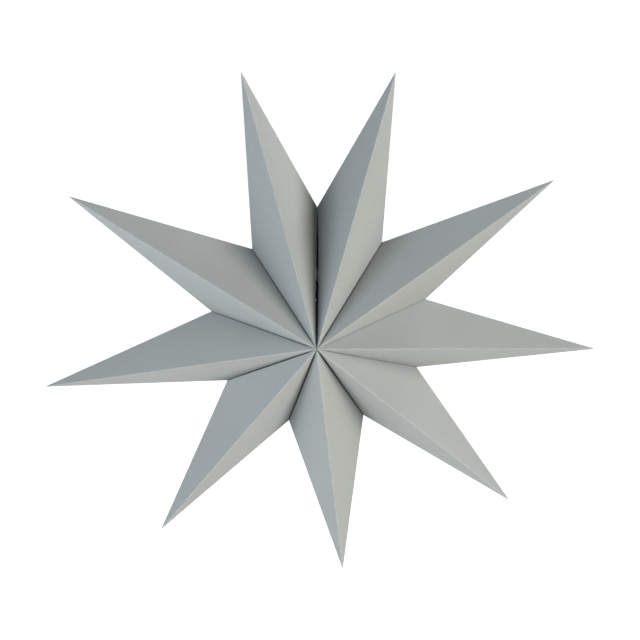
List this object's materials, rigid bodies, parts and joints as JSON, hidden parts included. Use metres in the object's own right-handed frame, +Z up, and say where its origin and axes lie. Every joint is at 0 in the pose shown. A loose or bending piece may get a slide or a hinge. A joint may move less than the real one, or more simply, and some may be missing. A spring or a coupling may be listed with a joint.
{
  "type": "paper star lantern",
  "caption": "Folding paper star lantern: hollow pointed star of creased grey card that hangs by a hole at its top seam and folds flat like a fan.",
  "frame": {"origin": "centre of the hanging hole, 13 mm below the notch of the seam between the two upper rays, on the star's mid-plane", "axes": "+Z up as the star hangs, -Y towards the viewer of the front, +X to the viewer's right; the star's own axis runs through its two poles along Y"},
  "size_m": [0.2918, 0.0604, 0.291],
  "materials": {
    "grey_card": "matt uncoated grey card",
    "tab_card": "matt uncoated grey card",
    "hook_tape": "matt woven hook tape",
    "loop_tape": "matt brushed loop tape"
  },
  "bodies": {
    "ray_5_front_left": {"ray_5_front_left": "grey_card"},
    "ray_5_front_right": {"ray_5_front_right": "grey_card"},
    "ray_4_front_right": {"ray_4_front_right": "grey_card"},
    "ray_4_front_left": {"ray_4_front_left": "grey_card"},
    "ray_3_front_right": {"ray_3_front_right": "grey_card"},
    "ray_3_front_left": {"ray_3_front_left": "grey_card"},
    "ray_2_front_right": {"ray_2_front_right": "grey_card"},
    "ray_2_front_left": {"ray_2_front_left": "grey_card"},
    "ray_1_front_right": {"ray_1_front_right": "grey_card"},
    "ray_1_front_left": {"ray_1_front_left": "grey_card"},
    "ray_6_front_left": {"ray_6_front_left": "grey_card"},
    "ray_6_front_right": {"ray_6_front_right": "grey_card"},
    "ray_7_front_left": {"ray_7_front_left": "grey_card"},
    "ray_7_front_right": {"ray_7_front_right": "grey_card"},
    "ray_8_front_left": {"ray_8_front_left": "grey_card"},
    "ray_8_front_right": {"ray_8_front_right": "grey_card"},
    "ray_9_front_left": {"ray_9_front_left": "grey_card"},
    "ray_9_front_right": {"ray_9_front_right": "grey_card"},
    "ray_1_back_right": {"ray_1_back_right": "grey_card"},
    "ray_1_back_left": {"ray_1_back_left": "grey_card"},
    "ray_2_back_right": {"ray_2_back_right": "grey_card"},
    "ray_2_back_left": {"ray_2_back_left": "grey_card"},
    "ray_3_back_right": {"ray_3_back_right": "grey_card"},
    "ray_3_back_left": {"ray_3_back_left": "grey_card"},
    "ray_4_back_right": {"ray_4_back_right": "grey_card"},
    "ray_4_back_left": {"ray_4_back_left": "grey_card"},
    "ray_5_back_right": {"ray_5_back_right": "grey_card"},
    "ray_5_back_left": {"ray_5_back_left": "grey_card"},
    "ray_6_back_right": {"ray_6_back_right": "grey_card"},
    "ray_6_back_left": {"ray_6_back_left": "grey_card"},
    "ray_7_back_right": {"ray_7_back_right": "grey_card"},
    "ray_7_back_left": {"ray_7_back_left": "grey_card"},
    "ray_8_back_right": {"ray_8_back_right": "grey_card"},
    "ray_8_back_left": {"ray_8_back_left": "grey_card"},
    "ray_9_back_right": {"ray_9_back_right": "grey_card"},
    "ray_9_back_left": {"ray_9_back_left": "grey_card"},
    "ray_1_front_seam_tab": {"ray_1_front_hook_pad": "hook_tape", "ray_1_front_seam_tab": "tab_card"},
    "ray_9_front_seam_tab": {"ray_9_front_loop_pad": "loop_tape", "ray_9_front_seam_tab": "tab_card"},
    "ray_1_back_seam_tab": {"ray_1_back_hook_pad": "hook_tape", "ray_1_back_seam_tab": "tab_card"},
    "ray_9_back_seam_tab": {"ray_9_back_loop_pad": "loop_tape", "ray_9_back_seam_tab": "tab_card"}
  },
  "joints": [
    {"name": "fold", "type": "hinge", "parent": "ray_5_front_left", "child": "ray_5_front_right", "pos_m": [-0.00001, -0.03033, -0.0548], "axis": [0.1024, 0.2024, -0.9739], "range_deg": [0, 93.4]},
    {"name": "ray_5_to_4_front_valley", "type": "hinge", "parent": "ray_5_front_left", "child": "ray_4_front_right", "pos_m": [0.00004, -0.03117, -0.05502], "axis": [0.3826, 0.4585, -0.8021], "range_deg": [0, 106.65]},
    {"name": "ray_4_front_ridge", "type": "hinge", "parent": "ray_4_front_right", "child": "ray_4_front_left", "pos_m": [-0.0001, -0.03033, -0.05484], "axis": [-0.6925, -0.2024, 0.6925], "range_deg": [0, 93.4]},
    {"name": "ray_4_to_3_front_valley", "type": "hinge", "parent": "ray_4_front_left", "child": "ray_3_front_right", "pos_m": [0.00008, -0.03117, -0.05498], "axis": [0.8026, 0.4611, -0.3785], "range_deg": [0, 106.88]},
    {"name": "ray_3_front_ridge", "type": "hinge", "parent": "ray_3_front_right", "child": "ray_3_front_left", "pos_m": [-0.00014, -0.03033, -0.05493], "axis": [-0.9748, -0.2024, 0.0939], "range_deg": [0, 93.4]},
    {"name": "ray_3_to_2_front_valley", "type": "hinge", "parent": "ray_3_front_left", "child": "ray_2_front_right", "pos_m": [0.00008, -0.03117, -0.05492], "axis": [0.86, 0.4611, 0.2184], "range_deg": [0, 106.88]},
    {"name": "ray_2_front_ridge", "type": "hinge", "parent": "ray_2_front_right", "child": "ray_2_front_left", "pos_m": [-0.00012, -0.03033, -0.05502], "axis": [-0.8119, -0.2024, -0.5476], "range_deg": [0, 93.4]},
    {"name": "ray_2_to_1_front_valley", "type": "hinge", "parent": "ray_2_front_left", "child": "ray_1_front_right", "pos_m": [0.00005, -0.03116, -0.05487], "axis": [0.5169, 0.4662, 0.718], "range_deg": [0, 107.34]},
    {"name": "ray_1_front_ridge", "type": "hinge", "parent": "ray_1_front_right", "child": "ray_1_front_left", "pos_m": [-0.00004, -0.03033, -0.05507], "axis": [-0.2617, -0.2024, -0.9437], "range_deg": [0, 93.4]},
    {"name": "ray_5_to_6_front_valley", "type": "hinge", "parent": "ray_5_front_right", "child": "ray_6_front_left", "pos_m": [-0.00002, -0.03117, -0.05502], "axis": [0.2143, -0.4636, 0.8597], "range_deg": [0, 107.11]},
    {"name": "ray_6_front_ridge", "type": "hinge", "parent": "ray_6_front_left", "child": "ray_6_front_right", "pos_m": [0.00008, -0.03033, -0.05483], "axis": [-0.5476, 0.2024, -0.8119], "range_deg": [0, 93.4]},
    {"name": "ray_6_to_7_front_valley", "type": "hinge", "parent": "ray_6_front_right", "child": "ray_7_front_left", "pos_m": [-0.00007, -0.03116, -0.05499], "axis": [0.7203, -0.4712, 0.5091], "range_deg": [0, 107.81]},
    {"name": "ray_7_front_ridge", "type": "hinge", "parent": "ray_7_front_left", "child": "ray_7_front_right", "pos_m": [0.00013, -0.03033, -0.05491], "axis": [-0.9481, 0.2024, -0.2452], "range_deg": [0, 93.4]},
    {"name": "ray_7_to_8_front_valley", "type": "hinge", "parent": "ray_7_front_right", "child": "ray_8_front_left", "pos_m": [-0.00009, -0.03116, -0.05493], "axis": [0.868, -0.4833, -0.1143], "range_deg": [0, 109]},
    {"name": "ray_8_front_ridge", "type": "hinge", "parent": "ray_8_front_left", "child": "ray_8_front_right", "pos_m": [0.00012, -0.03033, -0.05501], "axis": [-0.8523, 0.2024, 0.4822], "range_deg": [0, 93.41]},
    {"name": "ray_8_to_9_front_valley", "type": "hinge", "parent": "ray_8_front_right", "child": "ray_9_front_left", "pos_m": [-0.00006, -0.03116, -0.05487], "axis": [0.5374, -0.488, -0.6878], "range_deg": [0, 109.49]},
    {"name": "ray_9_front_ridge", "type": "hinge", "parent": "ray_9_front_left", "child": "ray_9_front_right", "pos_m": [0.00004, -0.03033, -0.05507], "axis": [-0.2617, 0.2024, 0.9437], "range_deg": [0, 93.4]},
    {"name": "ray_1_right_edge", "type": "hinge", "parent": "ray_1_front_right", "child": "ray_1_back_right", "pos_m": [0.03437, 0, -0.00719], "axis": [-0.0589, 0, -0.9983], "range_deg": [0, 90.92]},
    {"name": "ray_1_back_ridge", "type": "hinge", "parent": "ray_1_back_right", "child": "ray_1_back_left", "pos_m": [-0.00004, 0.03033, -0.05507], "axis": [0.2617, -0.2024, 0.9437], "range_deg": [0, 93.4]},
    {"name": "ray_2_right_edge", "type": "hinge", "parent": "ray_2_front_right", "child": "ray_2_back_right", "pos_m": [0.05782, 0, -0.04026], "axis": [-0.6931, 0, -0.7208], "range_deg": [0, 90.92]},
    {"name": "ray_2_back_ridge", "type": "hinge", "parent": "ray_2_back_right", "child": "ray_2_back_left", "pos_m": [-0.00012, 0.03033, -0.05502], "axis": [0.8119, -0.2024, 0.5476], "range_deg": [0, 93.4]},
    {"name": "ray_3_right_edge", "type": "hinge", "parent": "ray_3_front_right", "child": "ray_3_back_right", "pos_m": [0.05396, 0, -0.08039], "axis": [-0.9933, 0, -0.1153], "range_deg": [0, 90.92]},
    {"name": "ray_3_back_ridge", "type": "hinge", "parent": "ray_3_back_right", "child": "ray_3_back_left", "pos_m": [-0.00014, 0.03033, -0.05493], "axis": [0.9748, -0.2024, -0.0939], "range_deg": [0, 93.4]},
    {"name": "ray_4_right_edge", "type": "hinge", "parent": "ray_4_front_right", "child": "ray_4_back_right", "pos_m": [0.02586, 0, -0.10917], "axis": [-0.8398, 0, 0.5428], "range_deg": [0, 90.92]},
    {"name": "ray_4_back_ridge", "type": "hinge", "parent": "ray_4_back_right", "child": "ray_4_back_left", "pos_m": [-0.0001, 0.03033, -0.05484], "axis": [0.6925, -0.2024, -0.6925], "range_deg": [0, 93.4]},
    {"name": "ray_5_right_edge", "type": "hinge", "parent": "ray_5_front_right", "child": "ray_5_back_right", "pos_m": [-0.01433, 0, -0.11242], "axis": [-0.311, 0, 0.9504], "range_deg": [0, 90.92]},
    {"name": "ray_5_back_ridge", "type": "hinge", "parent": "ray_5_back_right", "child": "ray_5_back_left", "pos_m": [-0.00001, 0.03033, -0.0548], "axis": [0.1024, -0.2024, -0.9739], "range_deg": [0, 93.4]},
    {"name": "ray_6_right_edge", "type": "hinge", "parent": "ray_6_front_right", "child": "ray_6_back_right", "pos_m": [-0.04739, 0, -0.08844], "axis": [0.3726, 0, 0.928], "range_deg": [0, 90.92]},
    {"name": "ray_6_back_ridge", "type": "hinge", "parent": "ray_6_back_right", "child": "ray_6_back_left", "pos_m": [0.00008, 0.03033, -0.05483], "axis": [-0.5476, -0.2024, -0.8119], "range_deg": [0, 93.4]},
    {"name": "ray_7_right_edge", "type": "hinge", "parent": "ray_7_front_right", "child": "ray_7_back_right", "pos_m": [-0.05567, 0, -0.04761], "axis": [0.894, 0, 0.4481], "range_deg": [0, 90.92]},
    {"name": "ray_7_back_ridge", "type": "hinge", "parent": "ray_7_back_right", "child": "ray_7_back_left", "pos_m": [0.00013, 0.03033, -0.05491], "axis": [-0.9481, -0.2024, -0.2452], "range_deg": [0, 93.4]},
    {"name": "ray_8_right_edge", "type": "hinge", "parent": "ray_8_front_right", "child": "ray_8_back_right", "pos_m": [-0.03413, 0, -0.01125], "axis": [0.9544, 0, -0.2987], "range_deg": [0, 90.92]},
    {"name": "ray_8_back_ridge", "type": "hinge", "parent": "ray_8_back_right", "child": "ray_8_back_left", "pos_m": [0.00012, 0.03033, -0.05501], "axis": [-0.8523, -0.2024, 0.4822], "range_deg": [0, 93.41]},
    {"name": "ray_9_right_edge", "type": "hinge", "parent": "ray_9_front_right", "child": "ray_9_back_right", "pos_m": [0, 0, 0.013], "axis": [0.4636, 0, -0.886], "range_deg": [0, 90.92]},
    {"name": "ray_9_back_ridge", "type": "hinge", "parent": "ray_9_back_right", "child": "ray_9_back_left", "pos_m": [0.00004, 0.03033, -0.05507], "axis": [-0.2617, -0.2024, 0.9437], "range_deg": [0, 93.4]},
    {"name": "ray_1_front_seam_crease", "type": "hinge", "parent": "ray_1_front_left", "child": "ray_1_front_seam_tab", "pos_m": [0.00075, -0.03154, -0.05469], "axis": [0, 0.4151, 0.9098], "range_deg": [0, 51.58]},
    {"name": "ray_9_front_seam_crease", "type": "hinge", "parent": "ray_9_front_right", "child": "ray_9_front_seam_tab", "pos_m": [-0.00075, -0.03154, -0.05469], "axis": [0, -0.4151, -0.9098], "range_deg": [0, 51.58]},
    {"name": "ray_1_back_seam_crease", "type": "hinge", "parent": "ray_1_back_left", "child": "ray_1_back_seam_tab", "pos_m": [0.00075, 0.03154, -0.05469], "axis": [0, 0.4151, -0.9098], "range_deg": [0, 51.58]},
    {"name": "ray_9_back_seam_crease", "type": "hinge", "parent": "ray_9_back_right", "child": "ray_9_back_seam_tab", "pos_m": [-0.00075, 0.03154, -0.05469], "axis": [0, -0.4151, 0.9098], "range_deg": [0, 51.58]}
  ],
  "couplings": [
    {"joint": "ray_5_to_4_front_valley", "follows": "fold", "ratio": 1.1418},
    {"joint": "ray_4_front_ridge", "follows": "fold", "ratio": 1},
    {"joint": "ray_4_to_3_front_valley", "follows": "fold", "ratio": 1.1442},
    {"joint": "ray_3_front_ridge", "follows": "fold", "ratio": 1},
    {"joint": "ray_3_to_2_front_valley", "follows": "fold", "ratio": 1.1442},
    {"joint": "ray_2_front_ridge", "follows": "fold", "ratio": 1},
    {"joint": "ray_2_to_1_front_valley", "follows": "fold", "ratio": 1.1492},
    {"joint": "ray_1_front_ridge", "follows": "fold", "ratio": 1},
    {"joint": "ray_5_to_6_front_valley", "follows": "fold", "ratio": 1.1467},
    {"joint": "ray_6_front_ridge", "follows": "fold", "ratio": 1},
    {"joint": "ray_6_to_7_front_valley", "follows": "fold", "ratio": 1.1542},
    {"joint": "ray_7_front_ridge", "follows": "fold", "ratio": 1},
    {"joint": "ray_7_to_8_front_valley", "follows": "fold", "ratio": 1.167},
    {"joint": "ray_8_front_ridge", "follows": "fold", "ratio": 1},
    {"joint": "ray_8_to_9_front_valley", "follows": "fold", "ratio": 1.1722},
    {"joint": "ray_9_front_ridge", "follows": "fold", "ratio": 1},
    {"joint": "ray_1_right_edge", "follows": "fold", "ratio": 0.97336},
    {"joint": "ray_1_back_ridge", "follows": "fold", "ratio": 1},
    {"joint": "ray_2_right_edge", "follows": "fold", "ratio": 0.97336},
    {"joint": "ray_2_back_ridge", "follows": "fold", "ratio": 1},
    {"joint": "ray_3_right_edge", "follows": "fold", "ratio": 0.97336},
    {"joint": "ray_3_back_ridge", "follows": "fold", "ratio": 1},
    {"joint": "ray_4_right_edge", "follows": "fold", "ratio": 0.97336},
    {"joint": "ray_4_back_ridge", "follows": "fold", "ratio": 1},
    {"joint": "ray_5_right_edge", "follows": "fold", "ratio": 0.97336},
    {"joint": "ray_5_back_ridge", "follows": "fold", "ratio": 1},
    {"joint": "ray_6_right_edge", "follows": "fold", "ratio": 0.97336},
    {"joint": "ray_6_back_ridge", "follows": "fold", "ratio": 1},
    {"joint": "ray_7_right_edge", "follows": "fold", "ratio": 0.97336},
    {"joint": "ray_7_back_ridge", "follows": "fold", "ratio": 1},
    {"joint": "ray_8_right_edge", "follows": "fold", "ratio": 0.97336},
    {"joint": "ray_8_back_ridge", "follows": "fold", "ratio": 1},
    {"joint": "ray_9_right_edge", "follows": "fold", "ratio": 0.97336},
    {"joint": "ray_9_back_ridge", "follows": "fold", "ratio": 1},
    {"joint": "ray_1_front_seam_crease", "follows": "fold", "ratio": 0.55217},
    {"joint": "ray_9_front_seam_crease", "follows": "fold", "ratio": 0.55217},
    {"joint": "ray_1_back_seam_crease", "follows": "fold", "ratio": 0.55217},
    {"joint": "ray_9_back_seam_crease", "follows": "fold", "ratio": 0.55217}
  ]
}
